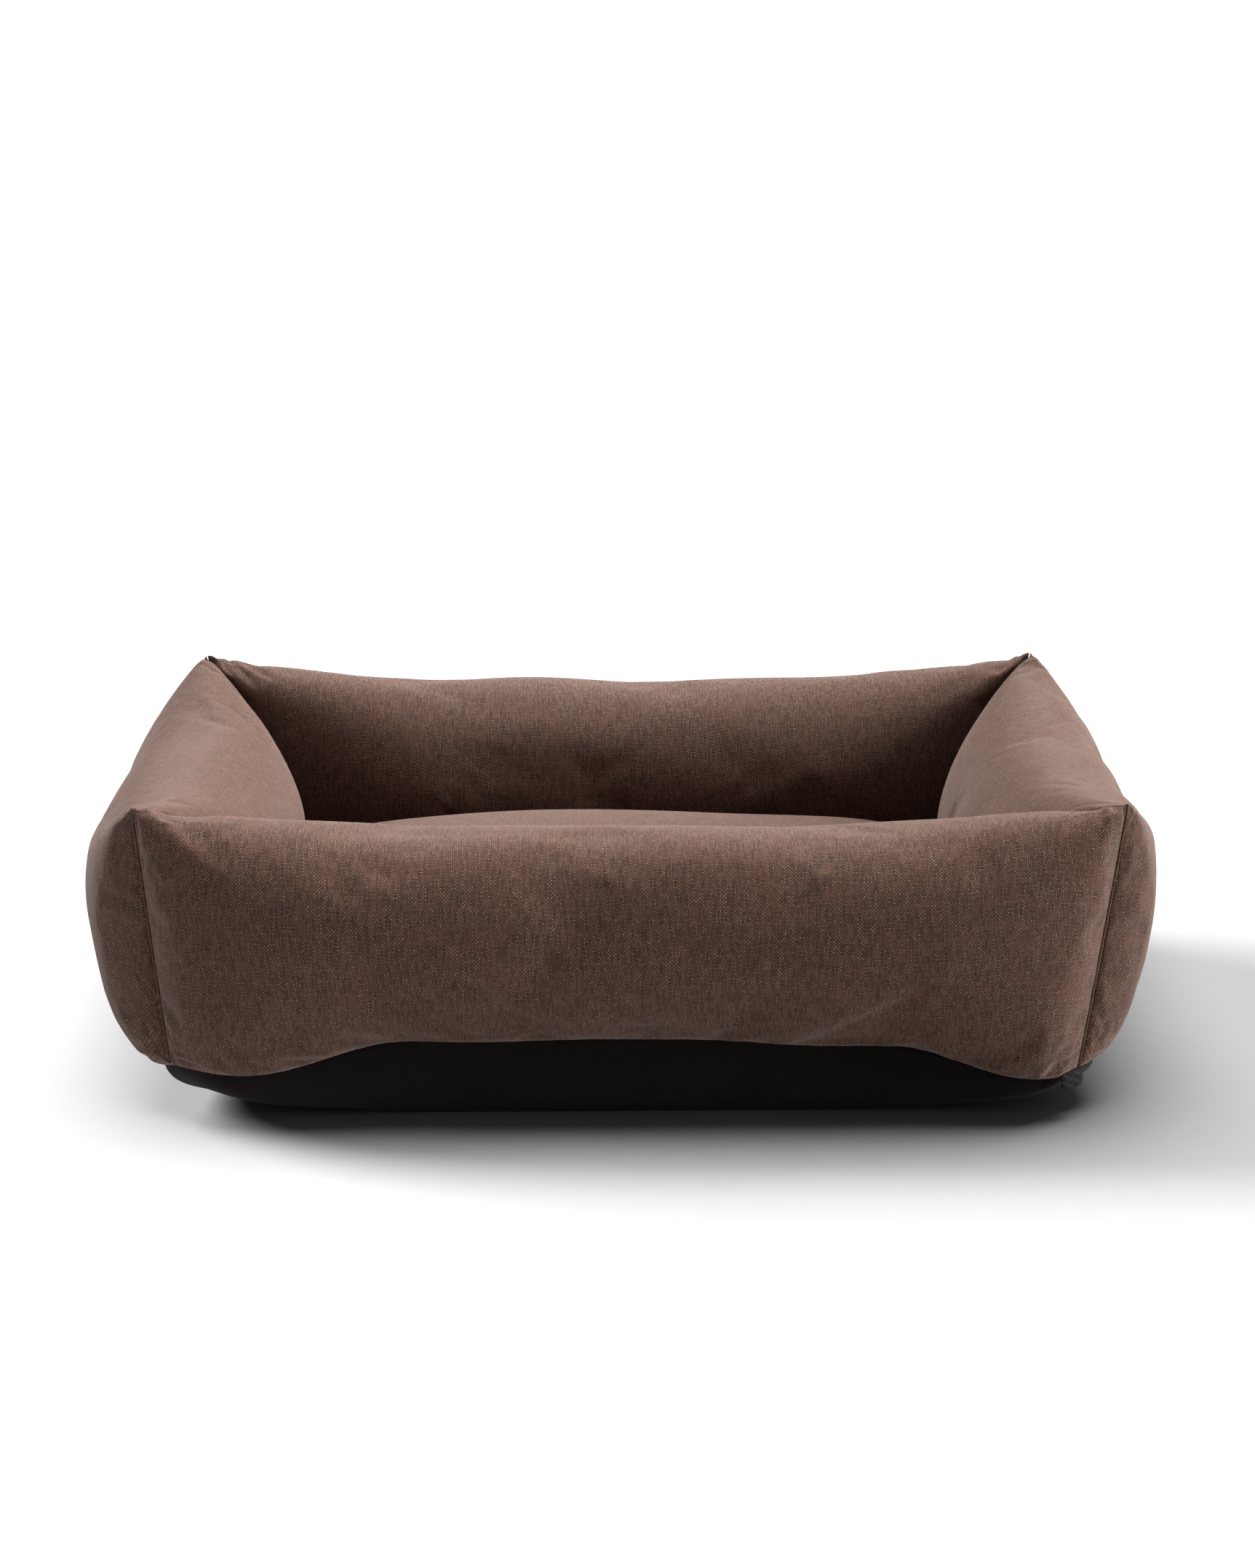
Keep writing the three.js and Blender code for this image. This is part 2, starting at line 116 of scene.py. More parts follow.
class BedShape(bpy.types.PropertyGroup):
    """How full and how even the stuffed pieces are."""

    lumps: FloatProperty(
        name="Lumps", description="Height of the soft undulation that the filling makes",
        default=0.0014, min=0.0, max=0.01, unit="LENGTH", precision=4)
    puckers: FloatProperty(
        name="Puckers", description="Height of the ripples that the corner seams gather",
        default=0.0009, min=0.0, max=0.005, unit="LENGTH", precision=4)
    pressure: FloatProperty(
        name="Pressure", description="Push of the filling on the cloth while it is simulated",
        default=3.0, min=0.0, max=20.0)
    slack: FloatProperty(
        name="Slack", description="Share by which the cloth is cut longer than its form",
        default=0.017, min=0.0, max=0.2, subtype="FACTOR")
    give: FloatProperty(
        name="Give", description="Furthest that the simulation may move a point",
        default=0.004, min=0.0, max=0.03, unit="LENGTH", precision=4)
    folds: FloatProperty(
        name="Folds", description="Height of the soft folds in the side of the sole",
        default=0.0019, min=0.0, max=0.01, unit="LENGTH", precision=4)


class BedFinish(bpy.types.PropertyGroup):
    """Colours and cloth of the finishes."""

    yarn_pitch: FloatProperty(
        name="Yarn pitch", description="Distance between neighbouring yarns of the cover cloth",
        default=0.0016, min=0.0004, max=0.01, unit="LENGTH", precision=5)
    cover: FloatVectorProperty(
        name="Cover yarn", description="Main yarn of the cover cloth",
        default=(0.068, 0.0328, 0.0215), size=3, min=0.0, max=1.0, subtype="COLOR")
    slub: FloatVectorProperty(
        name="Slub yarn", description="Pale thick places of the cover cloth's warp",
        default=(0.35, 0.262, 0.205), size=3, min=0.0, max=1.0, subtype="COLOR")
    sole: FloatVectorProperty(
        name="Sole", description="Dark hard-wearing cloth of the base",
        default=(0.0058, 0.0042, 0.0036), size=3, min=0.0, max=1.0, subtype="COLOR")
    metal: FloatVectorProperty(
        name="Zip metal", description="Sliders, pulls and stops",
        default=(0.21, 0.19, 0.17), size=3, min=0.0, max=1.0, subtype="COLOR")
    sheen: FloatProperty(
        name="Sheen", description="Soft shine of the cover cloth at a low angle",
        default=0.36, min=0.0, max=1.0, subtype="FACTOR")


class BedStage(bpy.types.PropertyGroup):
    """Light and camera."""

    key: FloatProperty(
        name="Key light", description="Strength of the soft light from above",
        default=7.9, min=0.0, max=30.0)
    fill: FloatProperty(
        name="Fill light", description="Strength of the light from the right",
        default=7.8, min=0.0, max=30.0)
    low: FloatProperty(
        name="Low light", description="Strength of the light that draws the shadow on the floor",
        default=10.8, min=0.0, max=30.0)
    wash: FloatProperty(
        name="Floor wash", description="Strength of the wide light on the floor",
        default=7.5, min=0.0, max=30.0)
    room: FloatProperty(
        name="Room light", description="Strength of the light from all round",
        default=0.2, min=0.0, max=5.0)
    lens: FloatProperty(
        name="Lens", description="Focal length of the camera",
        default=78.48, min=10.0, max=300.0, unit="CAMERA")


# ---- Shader nodes ----

class Value:
    """A number in a node tree. Arithmetic on values adds Math nodes."""

    def __init__(self, shader, socket):
        self.shader = shader
        self.socket = socket

    def math(self, operation, *others):
        inputs = dict(enumerate((self, *others)))
        return self.shader.add("ShaderNodeMath", {"operation": operation}, inputs)["Value"]

    def __add__(self, other):
        return self.math("ADD", other)

    def __radd__(self, other):
        return self.math("ADD", other)

    def __sub__(self, other):
        return self.math("SUBTRACT", other)

    def __rsub__(self, other):
        return (self * -1.0).math("ADD", other)

    def __mul__(self, other):
        return self.math("MULTIPLY", other)

    def __rmul__(self, other):
        return self.math("MULTIPLY", other)

    def __truediv__(self, other):
        return self.math("DIVIDE", other)

    def __pow__(self, other):
        return self.math("POWER", other)

    def __gt__(self, other):
        return self.math("GREATER_THAN", other)


class Outputs:
    """A node's output sockets, wrapped as values and looked up by name."""

    def __init__(self, shader, node):
        self.shader = shader
        self.node = node

    def __getitem__(self, name):
        return Value(self.shader, self.node.outputs[name])


class Shader:
    """A material whose node tree is built in code."""

    def __init__(self, name):
        self.material = bpy.data.materials.new(name)
        self.material.use_nodes = True
        self.tree = self.material.node_tree
        self.tree.nodes.clear()

    def add(self, kind, settings=None, inputs=None):
        """A node of this type, with its settings and then its sockets' values or links."""
        node = self.tree.nodes.new(kind)
        for name, value in (settings or {}).items():
            setattr(node, name, value)
        for name, value in (inputs or {}).items():
            if isinstance(value, Value):
                self.tree.links.new(value.socket, node.inputs[name])
            else:
                node.inputs[name].default_value = value
        return Outputs(self, node)

    def split(self, vector):
        parts = self.add("ShaderNodeSeparateXYZ", None, {"Vector": vector})
        return parts["X"], parts["Y"], parts["Z"]

    def join(self, x, y=0.0, z=0.0):
        return self.add("ShaderNodeCombineXYZ", None, {"X": x, "Y": y, "Z": z})["Vector"]

    def noise(self, vector, scale, detail=2.0, roughness=0.5):
        return self.add("ShaderNodeTexNoise", None, {
            "Vector": vector, "Scale": scale, "Detail": detail, "Roughness": roughness})["Fac"]

    def ramp(self, value, low, high):
        """0 below low and 1 above high, with a straight slope between them."""
        return self.add("ShaderNodeMapRange", {"clamp": True}, {
            "Value": value, "From Min": low, "From Max": high})["Result"]

    def mix(self, factor, a, b, blend="MIX"):
        inputs = {"Factor": factor, 6: a, 7: b}
        settings = {"data_type": "RGBA", "blend_type": blend}
        node = self.add("ShaderNodeMix", settings, inputs)
        return Value(self, node.node.outputs[2])

    def bump(self, height, distance, strength=1.0):
        return self.add("ShaderNodeBump", None, {
            "Height": height, "Distance": distance, "Strength": strength})["Normal"]

    def surface(self, **sockets):
        """The Principled surface of this material. Names are the sockets', spaces as _."""
        inputs = {name.replace("_", " "): value for name, value in sockets.items()}
        body = self.add("ShaderNodeBsdfPrincipled", None, inputs)
        self.add("ShaderNodeOutputMaterial", None, {"Surface": body["BSDF"]})
        return self.material


def opaque(colour, share=1.0):
    return tuple(share * channel for channel in colour) + (1.0,)


def cloth_place(shader):
    """The piece's own cloth coordinates in metres: x across the warp, y along it."""
    return shader.add("ShaderNodeUVMap", {"uv_map": "cloth"})["UV"]


def plain_weave(shader, place, pitch, wander):
    """Heights and masks of a plain weave. Yarns are counted in pitches and wander a little. A
    crossing is a mound, the sine of its place between two yarns raised to a small power, and warp
    or weft is on top by the sign of the product of both sines.
    """
    across, along, _ = shader.split(place)
    drift = shader.noise(place, 160.0, 3.0) - 0.5
    warp = across / pitch + drift * wander
    weft = along / pitch + drift * wander
    over = (warp * math.pi).math("SINE") * (weft * math.pi).math("SINE") > 0.0
    side = (warp * math.pi).math("SINE").math("ABSOLUTE")
    end = (weft * math.pi).math("SINE").math("ABSOLUTE")
    mound = (side ** 0.8) * (end ** 0.35) * over + (side ** 0.35) * (end ** 0.8) * (1.0 - over)
    return warp, weft, over, mound


def cover_cloth(finish):
    """Brown plain weave with reddish and dark yarns, pale slubs along the warp, and sheen."""
    s = Shader("Cover cloth")
    place = cloth_place(s)
    warp, weft, over, mound = plain_weave(s, place, finish.yarn_pitch, 0.35)
    column = warp.math("FLOOR")
    row = weft.math("FLOOR")
    dye = s.noise(s.join(column * 17.31, weft * 0.11), 1.0, 1.0)
    weft_dye = s.noise(s.join(column * 0.04, row * 13.17), 1.0, 1.0)
    fibre = s.noise(place, 2600.0, 2.0)
    patch = s.noise(place, 22.0, 3.0)
    thick = s.noise(s.join(column * 23.7, weft * 0.34, 4.0), 1.0, 1.0, 0.4)
    crowd = s.noise(s.join(column * 0.09, weft * 0.012, 9.0), 1.0, 2.0)
    slub = s.ramp(thick + (crowd - 0.5) * 0.12, 0.52, 0.74) * over * s.ramp(mound, 0.4, 0.9)

    main = opaque(finish.cover)
    dark = opaque(finish.cover, 0.30)
    red = (finish.cover[0] * 1.25, finish.cover[1] * 0.86, finish.cover[2] * 0.82, 1.0)
    pale = opaque(finish.cover, 2.25)
    yarn = s.mix(s.ramp(dye, 0.36, 0.63), dark, pale)
    cross = s.mix(s.ramp(weft_dye, 0.3, 0.7), dark, main)
    colour = s.mix(over, cross, yarn)
    colour = s.mix(s.ramp(patch, 0.45, 0.75) * 0.45, colour, red)
    colour = s.mix(slub * 0.6, colour, opaque(finish.slub))
    # Painted shade in the weave: darker down in the gaps between the yarns' crossings and lighter on their
    # crowns, following each mound's height.
    colour = s.mix(1.0, colour, s.mix(s.ramp(mound, 0.1, 0.85), opaque((0.12,) * 3), opaque((1.36,) * 3)),
                   "MULTIPLY")
    colour = s.mix(s.ramp(fibre, 0.25, 0.8) * 0.35, colour, pale)
    height = mound + fibre * 0.25 + slub * 0.25
    return s.surface(
        Base_Color=colour, Roughness=0.86, Specular_IOR_Level=0.28,
        Sheen_Weight=finish.sheen, Sheen_Roughness=0.26, Sheen_Tint=(1.0, 0.82, 0.76, 1.0),
        Normal=s.bump(height, 0.00035, 0.8))


def sole_cloth(finish):
    """Near-black close weave, slightly worn and dusty towards the floor."""
    s = Shader("Sole cloth")
    place = s.add("ShaderNodeTexCoord")["Object"]
    cloth = cloth_place(s)
    _, _, over, mound = plain_weave(s, cloth, 0.0011, 0.3)
    _, _, height = s.split(place)
    wear = s.ramp(s.noise(place, 35.0, 4.0), 0.5, 0.8) * (1.0 - s.ramp(height, 0.004, 0.03))
    # Painted shade in the weave: darker in the gaps between the yarns' crossings and lighter on their
    # crowns, following each mound's height.
    colour = s.mix(s.ramp(mound, 0.1, 0.9), opaque(finish.sole, 0.45), opaque(finish.sole, 1.35))
    colour = s.mix(wear * 0.35, colour, (0.030, 0.026, 0.023, 1.0))
    colour = s.mix(over * 0.25, colour, opaque(finish.sole, 0.8))
    return s.surface(
        Base_Color=colour, Roughness=0.92, Specular_IOR_Level=0.12,
        Sheen_Weight=0.05, Sheen_Roughness=0.5,
        Normal=s.bump(mound, 0.0003, 0.7))


def fibre_wadding(finish):
    """White polyester fibre: crossed fine noises, matte, with deep soft relief."""
    s = Shader("Fibre wadding")
    place = s.add("ShaderNodeTexCoord")["Object"]
    tuft = s.noise(place, 60.0, 6.0, 0.7)
    hair = s.noise(place, 900.0, 3.0, 0.6)
    # Painted shade: the white turns greyer where the tufts' height is low, in the hollows between them.
    colour = s.mix(s.ramp(tuft, 0.3, 0.7), (0.70, 0.69, 0.66, 1.0), (0.90, 0.89, 0.87, 1.0))
    return s.surface(
        Base_Color=colour, Roughness=0.95, Specular_IOR_Level=0.2, Sheen_Weight=0.3,
        Normal=s.bump(tuft + hair * 0.3, 0.003, 0.7))


def open_foam(finish):
    """Cream foam: painted shade in its small pores, on a faintly mottled ground."""
    s = Shader("Open foam")
    place = s.add("ShaderNodeTexCoord")["Object"]
    cell = s.add("ShaderNodeTexVoronoi", None, {"Vector": place, "Scale": 700.0})["Distance"]
    mottle = s.noise(place, 25.0, 3.0)
    ground = s.mix(mottle, (0.72, 0.62, 0.40, 1.0), (0.86, 0.78, 0.56, 1.0))
    # Painted shade: darker in each pore, where the cell distance and the bump are low.
    colour = s.mix(s.ramp(cell, 0.1, 0.45), (0.42, 0.34, 0.2, 1.0), ground)
    return s.surface(
        Base_Color=colour, Roughness=0.95, Specular_IOR_Level=0.2,
        Normal=s.bump(cell, 0.0006, 0.8))


def zip_tape(finish):
    """Dark ribbed tape: fine ribs across a herringbone of noise."""
    s = Shader("Zip tape")
    place = s.add("ShaderNodeTexCoord")["Object"]
    x, y, z = s.split(place)
    rib = ((x + y) * 5200.0).math("SINE") * 0.5 + 0.5
    line = (z * 7000.0).math("SINE") * 0.5 + 0.5
    lint = s.noise(place, 400.0, 3.0)
    # Painted shade: darker in the grooves, where the ribs and lines of the bump dip.
    colour = s.mix(rib * line, (0.006, 0.005, 0.0045, 1.0), (0.020, 0.017, 0.015, 1.0))
    colour = s.mix(s.ramp(lint, 0.55, 0.8) * 0.4, colour, (0.05, 0.042, 0.037, 1.0))
    return s.surface(
        Base_Color=colour, Roughness=0.85, Specular_IOR_Level=0.25,
        Normal=s.bump(rib + line, 0.0002, 0.7))


def zip_nylon(finish):
    """Dark moulded nylon, satin, with faint flow marks."""
    s = Shader("Zip nylon")
    place = s.add("ShaderNodeTexCoord")["Object"]
    flow = s.noise(place, 500.0, 3.0)
    colour = s.mix(flow, (0.012, 0.010, 0.009, 1.0), (0.030, 0.025, 0.022, 1.0))
    return s.surface(
        Base_Color=colour, Roughness=s.ramp(flow, 0.0, 1.0) * 0.2 + 0.32,
        Normal=s.bump(flow, 0.00005, 0.5))


def zip_metal(finish):
    """Dark antique metal: cloudy tarnish, rubbed brighter at random, fine scratches."""
    s = Shader("Zip metal")
    place = s.add("ShaderNodeTexCoord")["Object"]
    cloud = s.noise(place, 300.0, 4.0, 0.6)
    scratch = s.noise(s.add("ShaderNodeMapping", None, {
        "Vector": place, "Scale": (300.0, 3000.0, 3000.0)})["Vector"], 1.0, 2.0)
    colour = s.mix(s.ramp(cloud, 0.35, 0.65), opaque(finish.metal, 0.55), opaque(finish.metal, 1.6))
    return s.surface(
        Base_Color=colour, Metallic=1.0,
        Roughness=s.ramp(cloud, 0.2, 0.8) * 0.25 + 0.27,
        Normal=s.bump(scratch, 0.00004, 0.6))


def studio_floor(finish):
    """Plain pale floor, very slightly uneven in its colour."""
    s = Shader("Studio floor")
    place = s.add("ShaderNodeTexCoord")["Object"]
    grain = s.noise(place, 40.0, 2.0)
    colour = s.mix(grain, (0.245, 0.245, 0.248, 1.0), (0.255, 0.255, 0.258, 1.0))
    return s.surface(Base_Color=colour, Roughness=0.9, Specular_IOR_Level=0.1)


FINISHES = {
    "cover_cloth": cover_cloth,
    "sole_cloth": sole_cloth,
    "wadding": fibre_wadding,
    "foam": open_foam,
    "zip_tape": zip_tape,
    "zip_nylon": zip_nylon,
    "zip_metal": zip_metal,
    "studio_floor": studio_floor,
}
made_finishes = {}


def finish_of(slot, context):
    """The material of this slot, made the first time that it is asked for."""
    if slot not in made_finishes:
        made_finishes[slot] = FINISHES[slot](context.scene.bed_finish)
    return made_finishes[slot]


# ---- Surfaces ----

def smooth(low, high, value):
    """The smooth step: 3 t squared less 2 t cubed, of value's share t between low and high."""
    t = np.clip((value - low) / (high - low), 0.0, 1.0)
    return t * t * (3 - 2 * t)


def signed_power(value, power):
    """The power of value's size, with value's own sign."""
    return np.sign(value) * np.abs(value) ** power


def signed_volume(points, quads):
    """Sum over the faces, each cut in two, of the triple product of a triangle's corners."""
    a, b, c, d = (points[quads[:, k]] for k in range(4))
    return np.sum(np.cross(a, b) * c) + np.sum(np.cross(a, c) * d)


def grid_mesh(name, points, cloth, ends):
    """A mesh from a grid of points, rows by columns, whose columns close on themselves. cloth gives
    the cloth coordinates with one column more than points. ends says how its first and last rows are
    closed: "pinch" joins each column to the one across, "pole" means that the row is one point.
    """
    rows, columns = points.shape[:2]
    first, last = (1, rows - 1) if ends == "pole" else (0, rows)
    i, j = np.meshgrid(np.arange(first, last - 1), np.arange(columns), indexing="ij")
    k = (j + 1) % columns

    def place(row, column):
        return (row - first) * columns + column

    quads = np.stack([place(i, j), place(i + 1, j), place(i + 1, k), place(i, k)], -1).reshape(-1, 4)
    corner_cloth = np.stack([cloth[i, j], cloth[i + 1, j], cloth[i + 1, j + 1], cloth[i, j + 1]], 2)
    corner_cloth = corner_cloth.reshape(-1, 4, 2)
    flat = points[first:last].reshape(-1, 3)
    faces = [quads]
    uvs = [corner_cloth]
    across = np.arange(columns)
    if ends == "pole":
        flat = np.concatenate([flat, points[0, :1], points[-1, :1]])
        poles = [(first, len(flat) - 2, 0), (last - 1, len(flat) - 1, rows - 1)]
        for row, pole, pole_row in poles:
            near = place(row, across)
            far = place(row, (across + 1) % columns)
            turn = [near, far] if row == first else [far, near]
            faces.append(np.stack([*turn, np.full(columns, pole)], -1))
            marks = [cloth[row, across], cloth[row, across + 1]]
            marks = marks if row == first else marks[::-1]
            uvs.append(np.stack([*marks, cloth[pole_row, across]], 1))
    else:
        half = columns // 2
        low = np.arange(1, half - 1)
        for row in (0, rows - 1):
            ring = [low, low + 1, columns - low - 1, columns - low]
            tips = [np.array([[0, 1, columns - 1]]), np.array([[half - 1, half, half + 1]])]
            bands = [np.stack(ring, -1), *tips]
            for band in bands:
                band = band if row == 0 else band[:, ::-1]
                faces.append(place(row, band))
                uvs.append(cloth[row, np.minimum(band, columns - band)])
    turned = signed_volume(flat, quads) < 0
    if turned:
        faces = [face[:, ::-1] for face in faces]
        uvs = [uv[:, ::-1] for uv in uvs]
    mesh = bpy.data.meshes.new(name)
    mesh.from_pydata(flat.tolist(), [], [row for face in faces for row in face.tolist()])
    layer = mesh.uv_layers.new(name="cloth")
    layer.data.foreach_set("uv", np.concatenate([uv.reshape(-1, 2) for uv in uvs]).ravel())
    mesh.shade_smooth()
    return mesh


def piece(name, mesh, slot, body, context, replaces):
    """A finished piece: an object at the origin with the material of its slot, parented to its body, with
    the CAD nodes that it replaces hidden.
    """
    thing = bpy.data.objects.new(name, mesh)
    context.scene.collection.objects.link(thing)
    mesh.materials.clear()
    mesh.materials.append(finish_of(slot, context))
    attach(thing, body)
    if replaces:
        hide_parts(*replaces)
    return thing


def wrap(values):
    """The same grid with its first column repeated at its end."""
    return np.concatenate([values, values[:, :1]], 1)


def run_lengths(points, axis, start):
    """Distance along the points of one axis, counted from index start."""
    steps = np.linalg.norm(np.diff(points, axis=axis), axis=2)
    total = np.concatenate([np.zeros_like(np.take(steps, [0], axis)), np.cumsum(steps, axis)], axis)
    return total - np.take(total, [start], axis)


def lumps(u, v, height, seed):
    """Soft undulation of a filling: height times the mean of six sine waves, each of a length from
    150 to 400 mm and a direction and phase drawn from the seed.
    """
    draw = np.random.default_rng(seed)
    lengths = draw.uniform(0.15, 0.40, 6)
    turns = draw.uniform(0, 2 * math.pi, 6)
    phases = draw.uniform(0, 2 * math.pi, 6)
    total = sum(
        np.sin(2 * math.pi * (u * math.cos(turn) + v * math.sin(turn)) / length + phase)
        for length, turn, phase in zip(lengths, turns, phases))
    return height * total / 2.5


def foot_height(wall, s):
    """Underside of a wall at station s: level in its middle, then drooping to an ear near each end,
    and rising again to the corner's own foot. The ear at the right hangs closer to its corner.
    """
    size = np.abs(s)
    ear = np.where(s < 0, wall.ears[0], wall.ears[1])
    corner = np.where(s < 0, wall.corners[0], wall.corners[1])
    slope = 0.2 * smooth(0.1, 0.6, size) + 0.8 * smooth(0.56, 0.94, size)
    droop = np.where(s < 0, smooth(0.46, 0.87, size), slope)
    rise = np.where(s < 0, smooth(0.88, 1.0, size), smooth(0.945, 1.0, size))
    return WALL_FOOT - (WALL_FOOT - ear) * droop + (corner - ear) * rise


def flared(x, y, z):
    """Plan place of a point after the flare: drawn in towards the middle in proportion to its depth
    below the peaks, so that corner seams lean outwards, and more so at the right.
    """
    lean = FLARE * (PEAK - z) / (PEAK - CORNER_FOOT)
    lean_x = lean * (1 + (RIGHT_FLARE - 1) * smooth(0, CORNER, x))
    return x * (1 - lean_x / CORNER), y * (1 - lean / CORNER_DEEP)


def wall_skin(wall, shape, seed, inset, rows, columns):
    """A wall's outer skin, as rows of closed sections along the wall.

    At station s, from -1 to 1 between the corner seams, the section is an oval round the middle of
    foot and rim: its half width is the belly times the root of 1 less s to the pinch, never thinner
    than the sewn end, and its half height reaches from the foot to the rim. Outside and below, the
    oval is squarer, the more so towards the ears. The place along the wall is s times the half
    length, shortened by as much as the point stands in. Last comes the flare.
    """
    half_length, line = wall.half_length, wall.line
    t = np.linspace(-1, 1, rows)[:, None]
    s = np.sign(t) * (1 - (1 - np.abs(t)) ** 1.8)
    angle = (2 * math.pi * np.arange(columns) / columns - math.pi / 2)[None]
    across, up = np.cos(angle), np.sin(angle)
    foot = foot_height(wall, s)
    fullness = np.sqrt(1 - np.abs(s) ** PINCH)
    rim = PEAK - RIM_DIP * (1 - np.abs(s) ** 3)
    half = np.maximum(END_HALF, np.where(across > 0, wall.belly_out, BELLY_IN) * fullness) - inset
    height = (rim - foot) / 2 - inset
    low_outside = (across > 0) & (up < 0)
    square = np.where(low_outside, 2 / (2.35 + 1.1 * smooth(0.5, 0.85, np.abs(s))), 1.0)
    across = signed_power(across, square)
    up = signed_power(up, square)
    u = s * half_length + 0 * angle
    v = angle * 0.09 + 0 * s
    swell = lumps(u, v, shape.lumps, seed) * fullness
    reach = (half_length - np.abs(u)) / 0.030
    swell = swell + shape.puckers * np.exp(-reach) * fullness * (
        np.sin(v * 310 + 3 * np.sin(v * 23 + seed)) + 0.6 * np.sin(v * 171 + u * 60 + seed))
    out = (half + swell) * across
    along = s * (half_length - END_GAP - 2.5 * inset + np.minimum(0, out))
    z = (rim + foot) / 2 + (height + swell) * up
    c, k = math.cos(wall.turn), math.sin(wall.turn)
    y = -(line + out)
    points = np.stack([*flared(c * along - k * y, k * along + c * y, z), z], -1)
    cloth = np.stack([
        run_lengths(wrap(points), 0, rows // 2),
        run_lengths(wrap(points), 1, columns // 2)], -1)
    return points, cloth


def outline(half_x, half_y, radius, count):
    """Evenly spaced points round a rounded rectangle, anticlockwise from the middle of its right."""
    straight_y = half_y - radius
    arcs = [
        np.stack([
            sx * (half_x - radius) + radius * np.cos(turns),
            sy * straight_y + radius * np.sin(turns)], -1)
        for sx, sy, turns in (
            (sx, sy, np.linspace(quarter, quarter + 1, 24) * math.pi / 2)
            for quarter, (sx, sy) in enumerate([(1, 1), (-1, 1), (-1, -1), (1, -1)]))]
    path = np.concatenate([[[half_x, 0.0]], *arcs, [[half_x, 0.0]]])
    length = np.concatenate([[0.0], np.cumsum(np.linalg.norm(np.diff(path, axis=0), axis=1))])
    even = np.linspace(0, length[-1], count, endpoint=False)
    return np.stack([np.interp(even, length, path[:, axis]) for axis in (0, 1)], -1)


def ring_stack(name, rings, count=256):
    """A closed body from rings [grow, height, corner radius, scale]: each is the rectangle of the
    corner seams, grown, rounded and scaled. Heights may be arrays, one value per point.
    """
    points = np.zeros((len(rings), count, 3))
    for row, (grow, height, radius, scale) in enumerate(rings):
        points[row, :, :2] = outline(CORNER + grow, CORNER_DEEP + grow, radius, count) * scale
        points[row, :, 2] = height
    cloth = flat_cloth(points)
    return grid_mesh(name, points, cloth, "pole")


def flat_cloth(points):
    """Cloth coordinates of a piece cut flat: its x and y, let out by the drop of each row."""
    drop = np.abs(run_lengths(points[:, :, [2]], 0, 0))[..., None]
    level = points[:, :, :2]
    far = np.linalg.norm(level, axis=2, keepdims=True) + 1e-6
    return wrap(level * (1 + drop / far * smooth(0.1, 0.3, far)))


def stuffed(points, cloth, held, shape, context):
    """The grid of points after a cloth simulation: some frames without gravity, under the pressure of
    the filling, with the held points pinned by their weights and the cloth cut a little slack. The
    cloth keeps its pattern's form: from each point's movement the mean over its neighbourhood is
    taken off, which leaves the creases, and no point moves further than the give.
    """
    mesh = grid_mesh("stuffing", points, cloth, "pinch")
    thing = bpy.data.objects.new("stuffing", mesh)
    scene = context.scene
    scene.collection.objects.link(thing)
    pins = thing.vertex_groups.new(name="held")
    for index, weight in enumerate(held.ravel().tolist()):
        if weight > 0:
            pins.add([index], weight, "REPLACE")
    modifier = thing.modifiers.new("cloth", "CLOTH")
    settings = modifier.settings
    settings.quality = 5
    settings.mass = 0.3
    settings.tension_stiffness = 25
    settings.compression_stiffness = 25
    settings.shear_stiffness = 12
    settings.bending_stiffness = 0.8
    settings.shrink_min = -shape.slack
    settings.use_pressure = True
    settings.uniform_pressure_force = shape.pressure
    settings.vertex_group_mass = "held"
    settings.effector_weights.gravity = 0.0
    modifier.point_cache.frame_start = 1
    modifier.point_cache.frame_end = STUFFING_FRAMES
    for step in range(1, STUFFING_FRAMES + 1):
        scene.frame_set(step)
    done = thing.evaluated_get(context.evaluated_depsgraph_get())
    before = np.empty(len(mesh.vertices) * 3)
    after = np.empty(len(mesh.vertices) * 3)
    mesh.vertices.foreach_get("co", before)
    done.data.vertices.foreach_get("co", after)
    bpy.data.objects.remove(thing)
    bpy.data.meshes.remove(mesh)
    scene.frame_set(1)
    move = (after - before).reshape(points.shape)
    crease = (move - neighbourhood(move, CREASE_REACH)) * (1 - held[..., None])
    size = np.linalg.norm(crease, axis=2, keepdims=True) + 1e-9
    return points + crease * np.minimum(1.0, shape.give / size)


def neighbourhood(grid, reach):
    """Mean of a grid of vectors over reach rows and columns to each side. Columns close on themselves,
    and rows stop at the first and the last.
    """
    wide = sum(np.roll(grid, shift, 1) for shift in range(-reach, reach + 1))
    rows = np.arange(len(grid))
    tall = sum(wide[np.clip(rows + shift, 0, len(grid) - 1)] for shift in range(-reach, reach + 1))
    return tall / (2 * reach + 1) ** 2


def sole_side(share):
    """Grow and corner radius of the sole's outside at a share of its height: it grows from 56 mm inside
    the corner seams on the floor to 12 mm inside them at its top edge, by 44 mm less 44 times 1 less
    the share, to the power 2.2, and its corners close in from wide curves as it rises.
    """
    return -0.012 - 0.044 * (1 - share) ** 2.2, 0.062 + 0.120 * (1 - share) ** 2.5


# ---- Pieces ----

